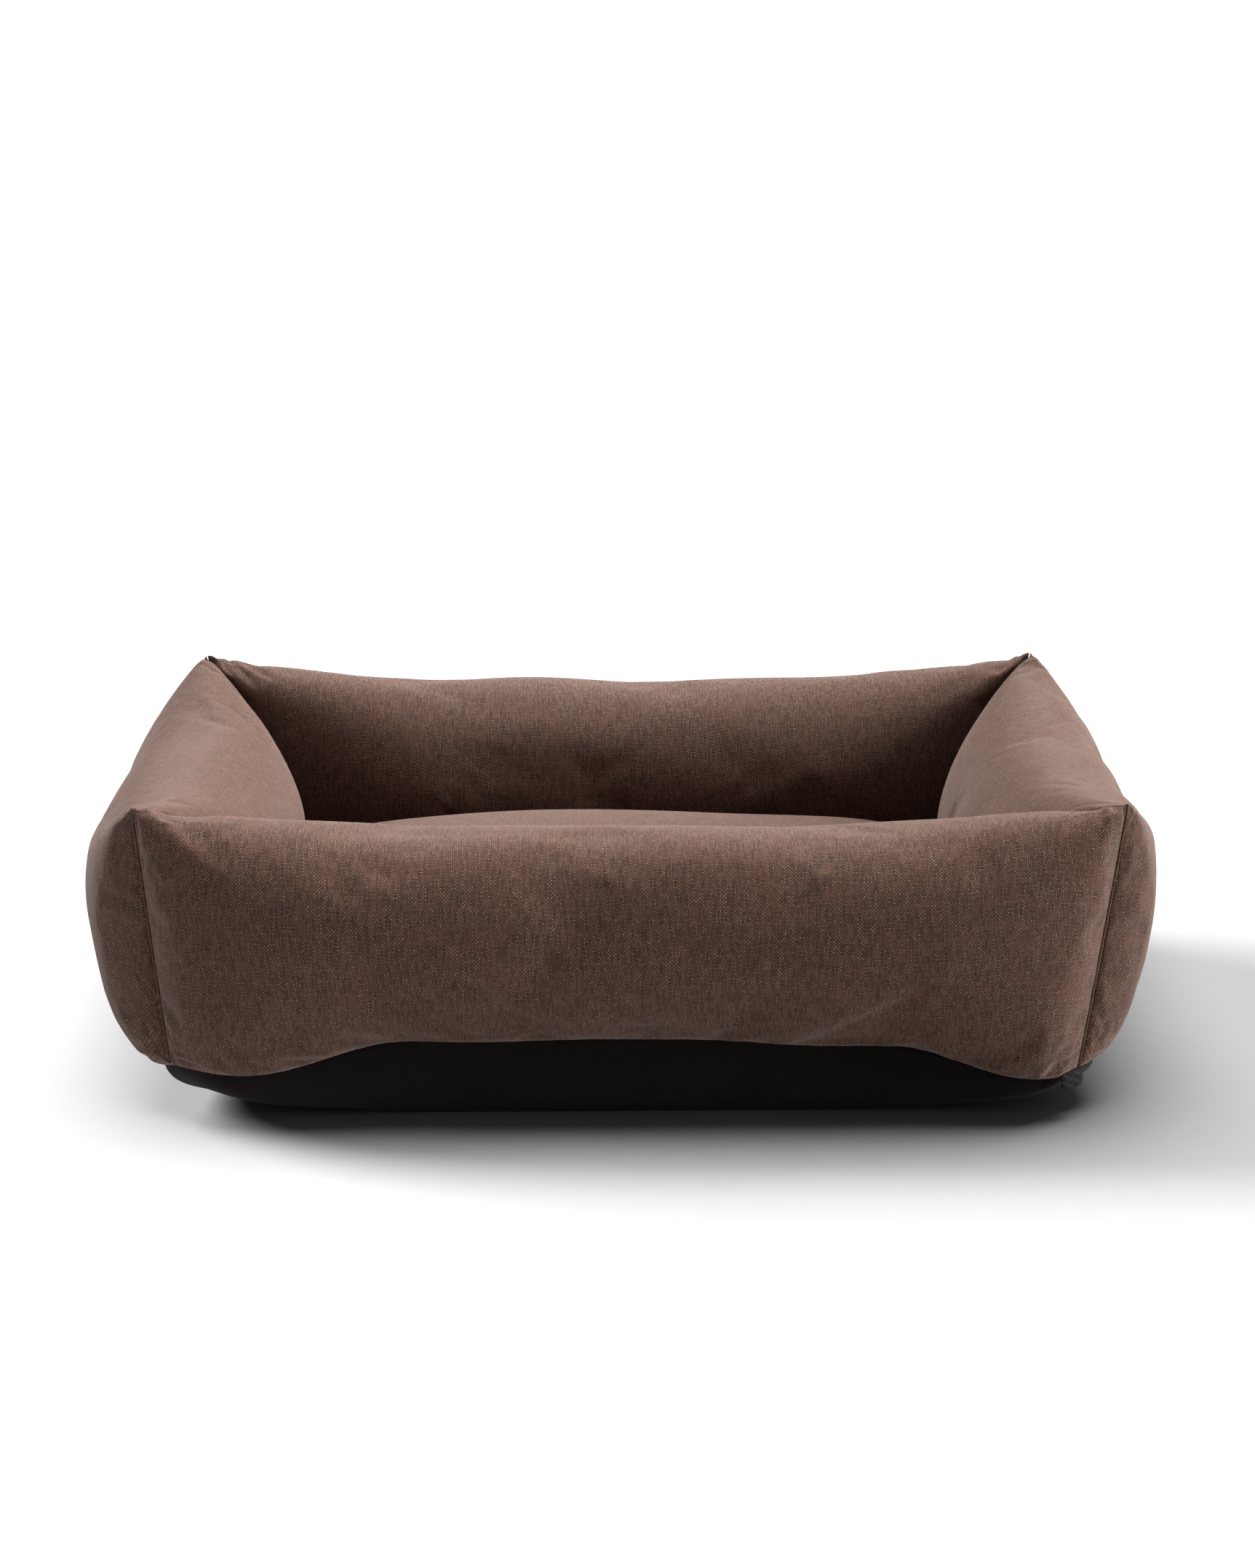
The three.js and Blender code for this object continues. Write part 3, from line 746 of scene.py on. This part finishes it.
class BedWalls(bpy.types.Operator):
    """Sew the covers of the four bolster walls"""

    bl_idname = "bed.walls"
    bl_label = "Wall covers"

    def execute(self, context):
        shape = context.scene.bed_shape
        for seed, (name, wall) in enumerate(WALLS.items()):
            points, cloth = wall_skin(wall, shape, seed + 3, 0.0, 121, 96)
            held = self.held(*points.shape[:2])
            points = stuffed(points, cloth, held, shape, context)
            mesh = grid_mesh(f"{name}_cover", points, cloth, "pinch")
            node = f"{name}_wall_cover"
            cover = piece(f"{name}_cover", mesh, "cover_cloth", "bed", context, [node])
            finer = cover.modifiers.new("finer", "SUBSURF")
            finer.levels = 1
            finer.render_levels = 1
        return {"FINISHED"}

    def held(self, rows, columns):
        """Pin weights of a wall: 1 at its sewn ends, and 0.6 along its underside, which is sewn on."""
        row = np.minimum(np.arange(rows), np.arange(rows)[::-1])[:, None]
        column = np.minimum(np.arange(columns), columns - np.arange(columns))[None]
        return np.maximum(1.0 - row / 3.0, 0.6 * (column < columns // 16)).clip(0.0, 1.0)


class BedFilling(bpy.types.Operator):
    """Stuff the four walls: fibre wadding round a bar of foam"""

    bl_idname = "bed.filling"
    bl_label = "Wall filling"

    def execute(self, context):
        shape = context.scene.bed_shape
        for seed, (name, wall) in enumerate(WALLS.items()):
            points, cloth = wall_skin(wall, shape, seed + 3, 0.011, 81, 64)
            points, cloth = points[7:-7], cloth[7:-7]
            mesh = grid_mesh(f"{name}_wadding", points, cloth, "pinch")
            node = f"{name}_wall_wadding"
            fill = piece(f"{name}_wadding", mesh, "wadding", "bed", context, [node])
            bar = self.foam_bar(f"{name}_wall_core")
            bar = piece(f"{name}_core", bar, "foam", "bed", context, [f"{name}_wall_core"])
        return {"FINISHED"}

    def foam_bar(self, node):
        """A round bar along the node's longer side, as wide as the node and rounded at both ends: its
        radius is the node's, times the root of 1 less the eighth power of the place along it.
        """
        low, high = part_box(node)
        size = high - low
        centre = np.array((low + high) / 2)
        long_axis = 0 if size.x > size.y else 1
        t = np.sin(np.linspace(-math.pi / 2, math.pi / 2, 25))[:, None]
        angle = (2 * math.pi * np.arange(32) / 32)[None]
        radius = 0.5 * np.sqrt(1 - t ** 8)
        along = t * size[long_axis] / 2 + 0 * angle
        side = radius * size[1 - long_axis] * np.cos(angle)
        up = radius * size.z * np.sin(angle)
        order = [along, side] if long_axis == 0 else [-side, along]
        points = np.stack([*order, up], -1) + centre
        cloth = wrap(np.stack([along, angle * 0.045 + 0 * t], -1))
        return grid_mesh(node, points, cloth, "pole")


class BedSeams(bpy.types.Operator):
    """Sew the four corner seams"""

    bl_idname = "bed.seams"
    bl_label = "Corner seams"

    def execute(self, context):
        for side_x, across in ((-1, "left"), (1, "right")):
            for side_y, along in ((-1, "front"), (1, "back")):
                node = f"corner_seam_{along}_{across}"
                mesh = self.ridge(node, side_x, side_y, CORNER_FEET[f"{along}_{across}"])
                name = f"seam_{along}_{across}"
                piece(name, mesh, "cover_cloth", "bed", context, [node])
        return {"FINISHED"}

    def ridge(self, node, side_x, side_y, foot):
        """A slim round ridge up the corner line: its radius is 1.6 mm times the root of 1 less the tenth
        power of its place, with a dimple at each stitch, 4 mm apart.
        """
        t = np.sin(np.linspace(-math.pi / 2, math.pi / 2, 181))[:, None]
        angle = (2 * math.pi * np.arange(16) / 16)[None]
        low = foot + 0.002
        z = (PEAK + low) / 2 + t * (PEAK - low - 0.001) / 2
        stitch = 1 - 0.12 * np.abs(np.sin(math.pi * z / 0.004)) ** 6
        radius = 0.0016 * np.sqrt(1 - t ** 10) * stitch
        x, y = flared(side_x * CORNER, side_y * CORNER_DEEP, z)
        points = np.stack([x + radius * np.cos(angle), y + radius * np.sin(angle), z + 0 * angle], -1)
        cloth = wrap(np.stack([angle * 0.002 + 0 * t, z + 0 * angle], -1))
        return grid_mesh(node, points, cloth, "pole")


class BedBase(bpy.types.Operator):
    """Make the base: dark sole, foam slab and the lining over it"""

    bl_idname = "bed.base"
    bl_label = "Base"

    def execute(self, context):
        pan = self.sole(context.scene.bed_shape)
        sole = piece("sole", pan, "sole_cloth", "bed", context, ["base_sole"])
        slab = piece("base_slab", self.slab(), "foam", "bed", context, ["base_foam"])
        lining = piece("lining", self.lining(), "cover_cloth", "bed", context, ["base_lining"])
        return {"FINISHED"}

    def sole(self, shape):
        """The pan's outside is the sole's side. Its top edge follows the underside of the walls, and
        its inside runs 2 mm within its outside.
        """
        count = 320
        share = np.linspace(0, 1, 22) ** 1.5
        plan = outline(CORNER, CORNER_DEEP, 0.066, count)
        x = np.clip(plan[:, 0] / (CORNER - FLARE), -1, 1)
        y = np.clip(plan[:, 1] / (CORNER_DEEP - FLARE), -1, 1)
        on_long_side = np.abs(x) < np.abs(y)
        top = 0.001 + np.select(
            [on_long_side & (y < 0), on_long_side, x > 0],
            [
                foot_height(WALLS["front"], x),
                foot_height(WALLS["back"], -x),
                foot_height(WALLS["right"], y)],
            foot_height(WALLS["left"], -y))
        angle = np.linspace(0, 2 * math.pi, count, endpoint=False)
        fold = shape.folds * (
            0.6 * np.sin(9 * angle + 1.0) + 0.4 * np.sin(23 * angle + 2.0 + np.sin(5 * angle)))
        grow, radius = sole_side(share)
        middle = [0.0, 0.45, 0.8, 0.95]
        outside = [(grow[0], 0.0, radius[0], scale) for scale in middle]
        outside += [
            (g, k * top + fold * k * (1 - k) * 4, r, 1.0) for k, g, r in zip(share, grow, radius)]
        inside = [
            (g - 0.002, np.maximum(0.002, k * top + fold * k * (1 - k) * 4), r - 0.002, 1.0)
            for k, g, r in zip(share[::-1], grow[::-1], radius[::-1])]
        inside += [(grow[0] - 0.002, 0.002, radius[0] - 0.002, scale) for scale in middle[::-1]]
        return ring_stack("sole", outside + inside, count)

    def slab(self):
        """Foam slab: flat below and above, its side 8 mm inside the sole's up to the lining's edge."""
        low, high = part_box("base_foam")
        edge_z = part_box("base_lining")[0].z - 0.0006
        share = np.linspace(0.03, 0.52, 8)
        grow, radius = sole_side(share)
        level = np.linspace(low.z, edge_z, len(share))
        rings = [(grow[0] - 0.008, low.z, radius[0], scale) for scale in (0.0, 0.5, 0.97)]
        rings += [(g - 0.008, z, r, 1.0) for g, z, r in zip(grow, level, radius)]
        rings += [(-0.095, high.z, 0.110, scale) for scale in (1.0, 0.97, 0.5, 0.0)]
        return ring_stack("base_slab", rings)

    def lining(self):
        """Lining: level over the slab, then a straight skirt down to the slab's edge, 2 mm thick."""
        low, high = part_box("base_lining")
        top = [(-0.095, high.z, 0.110, scale) for scale in (0.0, 0.5, 0.97, 1.0)]
        skirt = [
            (-0.095 + 0.059 * k, high.z - (high.z - low.z - 0.002) * k, 0.110 - 0.050 * k, 1.0)
            for k in (0.2, 0.4, 0.6, 0.8, 0.98, 1.0)]
        upper = top + skirt
        lower = [(grow, z - 0.002, radius, scale) for grow, z, radius, scale in reversed(upper)]
        return ring_stack("lining", upper + lower)


class BedCushion(bpy.types.Operator):
    """Make the loose cushion: two cloth panels, a domed fibre layer and a foam slab"""

    bl_idname = "bed.cushion"
    bl_label = "Loose cushion"

    def execute(self, context):
        shape = context.scene.bed_shape
        crown = CUSHION_CROWN
        seam = CUSHION_SEAM + 0.0006
        top = self.panel(0.0, seam, crown, 0.002, shape)
        parts = {
            "cushion_top": (top, "cover_cloth", "cushion_cover_top", 0.8),
            "cushion_bottom": (self.pan(), "cover_cloth", "cushion_cover_bottom", 0.8),
            "cushion_fibre": (self.dome(), "wadding", "cushion_wadding", 0.9),
            "cushion_slab": (self.slab(), "foam", "cushion_foam", 1.0),
        }
        for name, (mesh, slot, node, fill) in parts.items():
            mesh.name = name
            piece(name, mesh, slot, "cushion", context, [node])
        return {"FINISHED"}

    def ring(self, r, grow, count=288):
        """Plan of the cushion at radius r, 1 at the seam: an oval near the middle and a rounded
        rectangle at the seam, as a superellipse whose power is 2.2 plus 9 r to the fourth, pulled in
        between its corners by a share that grows with r squared.
        """
        a = CUSHION_LONG + grow
        b = CUSHION_WIDE + grow
        guide = outline(a, b, 0.03, count)
        turn = np.arctan2(guide[:, 1], guide[:, 0])
        power = 2.2 + 9 * r ** 4
        c, s = np.cos(turn), np.sin(turn)
        reach = (np.abs(c / a) ** power + np.abs(s / b) ** power) ** (-1 / power)
        x, y = reach * c, reach * s
        pull_x = 1 - PULL_IN_LONG * r * r * (1 - np.abs(y / b) ** PINCH)
        pull_y = 1 - PULL_IN_WIDE * r * r * (1 - np.abs(x / a) ** PINCH)
        return np.stack([r * x * pull_x, r * y * pull_y], -1)

    def rings(self, rows):
        """Rows of [r, grow, height] as a grid of points. A height may be an array."""
        points = np.zeros((len(rows), 288, 3))
        for k, (r, grow, height) in enumerate(rows):
            points[k, :, :2] = self.ring(r, grow)
            points[k, :, 2] = height
        return points

    def crown(self, grow, seam, top, radii):
        """Height over the seam is the crown's height times a power, 0.7, of 1 less r squared."""
        return [(r, grow, seam + (top - seam) * max(0.0, 1 - r * r) ** 0.7) for r in radii]

    def panel(self, grow, seam, top, thick, shape):
        """Top panel: the crown outside, and inside it the same crown one cloth lower."""
        radii = np.sin(np.linspace(0, math.pi / 2, 44))
        outer = self.rings(self.crown(grow, seam, top, radii))
        inner = self.rings(self.crown(grow - thick, seam, top - thick, radii[::-1]))
        points = np.concatenate([outer, inner])
        u, v = points[:, :, 0], points[:, :, 1]
        body = np.concatenate([1 - radii ** 6, 1 - radii[::-1] ** 6])[:, None]
        points[:, :, 2] += (lumps(u, v, shape.lumps, 21) - 0.6 * shape.lumps) * body
        return grid_mesh("cushion_top", points, flat_cloth(points), "pole")

    def pan(self):
        """Bottom panel: flat on the lining, then a side that leans out to the seam as a quarter oval."""
        foot, seam = CUSHION_FOOT, CUSHION_SEAM
        turn = np.linspace(0, math.pi / 2, 14)
        side = [(1.0, -0.021 * (1 - math.sin(k)), foot + (seam - foot) * (1 - math.cos(k))) for k in turn]
        floor = [(r, -0.021, foot) for r in (0.0, 0.4, 0.8, 0.96)]
        inner = [(r, grow - 0.002, max(foot + 0.002, z)) for r, grow, z in reversed(floor + side)]
        points = self.rings(floor + side + inner)
        return grid_mesh("cushion_bottom", points, flat_cloth(points), "pole")

    def dome(self):
        """Fibre layer: level below, and above it the crown 3.4 mm under the cloth."""
        low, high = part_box("cushion_wadding")
        radii = np.sin(np.linspace(0, math.pi / 2, 24))
        over = self.crown(-0.0045, low.z, high.z - 0.003, radii)
        under = [(r, -0.0045, low.z) for r in (0.9, 0.5, 0.0)]
        points = self.rings(over + under)
        return grid_mesh("cushion_wadding", points, flat_cloth(points), "pole")

    def slab(self):
        """Foam slab: level below and above, its side leaning out a little with the panel round it."""
        low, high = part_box("cushion_foam")
        rows = [(r, -0.030, low.z) for r in (0.0, 0.5, 0.97, 1.0)]
        rows += [(1.0, -0.020, low.z + 0.010), (1.0, -0.014, high.z - 0.004), (1.0, -0.016, high.z)]
        rows += [(r, -0.016, high.z) for r in (0.97, 0.5, 0.0)]
        points = self.rings(rows)
        return grid_mesh("cushion_slab", points, flat_cloth(points), "pole")


class BedZips(bpy.types.Operator):
    """Fit both zips: tapes, coils, stops, sliders and pulls, and the tucked tape end"""

    bl_idname = "bed.zips"
    bl_label = "Zips"

    def execute(self, context):
        tilts = {
            "base": Matrix.Rotation(math.pi / 2 + ZIP_LEAN, 3, "Y") @ Matrix.Rotation(math.pi / 2, 3, "Z"),
            "cushion": Matrix.Rotation(-math.pi / 2 - ZIP_LEAN, 3, "X") @ Matrix.Rotation(math.pi, 3, "Z"),
        }
        for owner, tilt in tilts.items():
            body = "bed" if owner == "base" else "cushion"
            for part in ("tape_upper", "tape_lower"):
                self.bevelled(context, f"{owner}_zip_{part}", "zip_tape", body, 0.0004)
            for part in ("stop_open", "stop_closed"):
                self.bevelled(context, f"{owner}_zip_{part}", "zip_metal", body, 0.0005)
            for part in ("slider", "pull"):
                node = f"{owner}_zip_{part}"
                self.bevelled(context, node, "zip_metal", node, 0.0003)
            node = f"{owner}_zip_coil"
            coil = piece(f"{owner}_coil", self.teeth(node, tilt), "zip_nylon", body, context, [node])
            coil.data.shade_smooth()
        tab = piece("tape_end", self.tape_end(), "zip_tape", "bed", context, ["base_zip_end_tab"])
        tab.data.shade_smooth()
        return {"FINISHED"}

    def bevelled(self, context, node, slot, body, width):
        """The CAD solid with its corner points merged and its sharp edges rounded by width."""
        form = bmesh.new()
        form.from_mesh(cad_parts[node].data)
        bmesh.ops.remove_doubles(form, verts=form.verts, dist=1e-5)
        bmesh.ops.dissolve_limit(form, angle_limit=0.01, verts=form.verts, edges=form.edges)
        mesh = bpy.data.meshes.new(node)
        form.to_mesh(mesh)
        form.free()
        thing = piece(node.replace("_zip", ""), mesh, slot, body, context, [node])
        bevel = thing.modifiers.new("rounded edges", "BEVEL")
        bevel.width = width
        bevel.segments = 2
        bevel.limit_method = "ANGLE"
        bevel.harden_normals = True
        mesh.shade_smooth()
        return thing

    def teeth(self, node, tilt):
        """The closed coil as teeth laid side by side along the zip, one every 1.1 mm, reaching across it
        from alternate sides. A tooth is an egg on a grid of two angles: its three half sizes times the
        cosines and sines of the angles.
        """
        low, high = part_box(node)
        centre = np.array((low + high) / 2)
        length = max(high.x - low.x, high.y - low.y)
        count = int(length / 0.0011)
        up = np.linspace(0, math.pi, 7)[:, None]
        turn = (2 * math.pi * np.arange(8) / 8)[None]
        tooth = np.stack([
            0.00048 * np.sin(up) * np.cos(turn),
            0.0017 * np.cos(up) + 0 * turn,
            0.00125 * np.sin(up) * np.sin(turn)], -1)
        step = np.arange(count)
        shift = np.stack([
            (step + 0.5) * length / count - length / 2, 0.00045 * (-1.0) ** step, 0 * step], -1)
        one = grid_mesh("tooth", tooth, wrap(tooth[:, :, :2]), "pole")
        corners = np.array([[*face.vertices, *([-1] * (4 - len(face.vertices)))] for face in one.polygons])
        kept = np.concatenate([tooth[1:-1].reshape(-1, 3), tooth[0, :1], tooth[-1, :1]])
        bpy.data.meshes.remove(one)
        all_points = (kept[None] + shift[:, None]).reshape(-1, 3) @ np.array(tilt).T + centre
        offset = (step * len(kept))[:, None, None]
        faces = np.where(corners[None] < 0, -1, corners[None] + offset).reshape(-1, 4)
        mesh = bpy.data.meshes.new(node)
        mesh.from_pydata(all_points.tolist(), [], [[c for c in face if c >= 0] for face in faces.tolist()])
        return mesh

    def tape_end(self):
        """The tucked end of the tapes: a flattened egg with square shoulders, whose face is crumpled by
        two crossed sine waves of 0.7 mm.
        """
        low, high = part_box("base_zip_end_tab")
        centre = np.array((low + high) / 2)
        up = np.linspace(0, math.pi, 33)[:, None]
        turn = (2 * math.pi * np.arange(64) / 64)[None]
        across = signed_power(np.sin(up), 0.6) * signed_power(np.cos(turn), 0.6)
        high_up = signed_power(np.cos(up), 0.6) + 0 * turn
        thick = signed_power(np.sin(up), 0.8) * signed_power(np.sin(turn), 0.8)
        crumple = 0.0007 * np.sin(across * 5 + 1) * np.sin(high_up * 7)
        points = np.stack([0.012 * across, 0.0017 * thick + crumple, 0.008 * high_up], -1)
        turned = np.array(Matrix.Rotation(math.pi / 6, 3, "Z")).T
        return grid_mesh("tape_end", points @ turned + centre, wrap(points[:, :, [0, 2]]), "pole")


class BedStageSet(bpy.types.Operator):
    """Set the pale floor, the soft lights and the camera"""

    bl_idname = "bed.stage"
    bl_label = "Stage"

    def execute(self, context):
        stage = context.scene.bed_stage
        scene = context.scene
        floor = self.floor(context)
        key = self.sun("key", stage.key, 60, (-25, 0, 0), (1.0, 0.985, 0.97), scene)
        fill = self.sun("fill", stage.fill, 50, (0, 80, 4), (1.0, 0.98, 0.96), scene)
        low = self.sun("low", stage.low, 30, (0, -56, -22), (1.0, 1.0, 1.0), scene)
        wash = self.sun("wash", stage.wash, 55, (0, 0, 0), (1.0, 1.0, 1.0), scene)
        for lamps, state in (((low, wash), "INCLUDE"), ((key, fill), "EXCLUDE")):
            receivers = bpy.data.collections.new(f"floor {state.lower()}d")
            receivers.objects.link(floor)
            receivers.collection_objects[0].light_linking.link_state = state
            for lamp in lamps:
                lamp.light_linking.receiver_collection = receivers
        self.room(stage.room, scene)
        lens = bpy.data.cameras.new("camera")
        lens.lens = stage.lens
        lens.sensor_width = 36
        lens.clip_end = 500
        camera = bpy.data.objects.new("camera", lens)
        camera.location = (-0.055, -3.21, 1.04)
        camera.rotation_euler = (math.radians(76), 0, math.radians(-1.03))
        scene.collection.objects.link(camera)
        scene.camera = camera
        scene.view_settings.view_transform = "Standard"
        scene.cycles.denoising_prefilter = "NONE"
        return {"FINISHED"}

    def floor(self, context):
        mesh = bpy.data.meshes.new("floor")
        half = 120.0
        level = -0.0003
        mesh.from_pydata(
            [(-half, -half, level), (half, -half, level), (half, half, level), (-half, half, level)],
            [], [(0, 1, 2, 3)])
        mesh.materials.append(finish_of("studio_floor", context))
        floor = bpy.data.objects.new("floor", mesh)
        context.scene.collection.objects.link(floor)
        return floor

    def sun(self, name, strength, spread, turn, colour, scene):
        light = bpy.data.lights.new(name, "SUN")
        light.energy = strength
        light.angle = math.radians(spread)
        light.color = colour
        lamp = bpy.data.objects.new(name, light)
        lamp.rotation_euler = [math.radians(value) for value in turn]
        scene.collection.objects.link(lamp)
        return lamp

    def room(self, strength, scene):
        world = bpy.data.worlds.new("room")
        world.use_nodes = True
        world.node_tree.nodes["Background"].inputs["Color"].default_value = (1.0, 1.0, 1.0, 1.0)
        world.node_tree.nodes["Background"].inputs["Strength"].default_value = strength
        scene.world = world


class BedPanel(bpy.types.Panel):
    """Buttons that make the bed, in working order"""

    bl_idname = "VIEW3D_PT_bed"
    bl_label = "Pet cushion bed"
    bl_space_type = "VIEW_3D"
    bl_region_type = "UI"
    bl_category = "Pet bed"

    def draw(self, context):
        for group in (context.scene.bed_shape, context.scene.bed_finish, context.scene.bed_stage):
            for name in group.__annotations__:
                self.layout.prop(group, name)
        for step in STEPS:
            self.layout.operator(step.bl_idname)


STEPS = (BedStageSet, BedWalls, BedFilling, BedSeams, BedBase, BedCushion, BedZips)
GROUPS = {"bed_shape": BedShape, "bed_finish": BedFinish, "bed_stage": BedStage}


def register():
    for kind in (*GROUPS.values(), *STEPS, BedPanel):
        bpy.utils.register_class(kind)
    for name, kind in GROUPS.items():
        setattr(bpy.types.Scene, name, PointerProperty(type=kind))


def unregister():
    for name in GROUPS:
        delattr(bpy.types.Scene, name)
    for kind in (BedPanel, *reversed(STEPS), *GROUPS.values()):
        bpy.utils.unregister_class(kind)


def main():
    register()
    bpy.ops.bed.stage()
    bpy.ops.bed.walls()
    bpy.ops.bed.filling()
    bpy.ops.bed.seams()
    bpy.ops.bed.base()
    bpy.ops.bed.cushion()
    bpy.ops.bed.zips()
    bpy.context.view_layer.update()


if __name__ == "__main__":
    main()
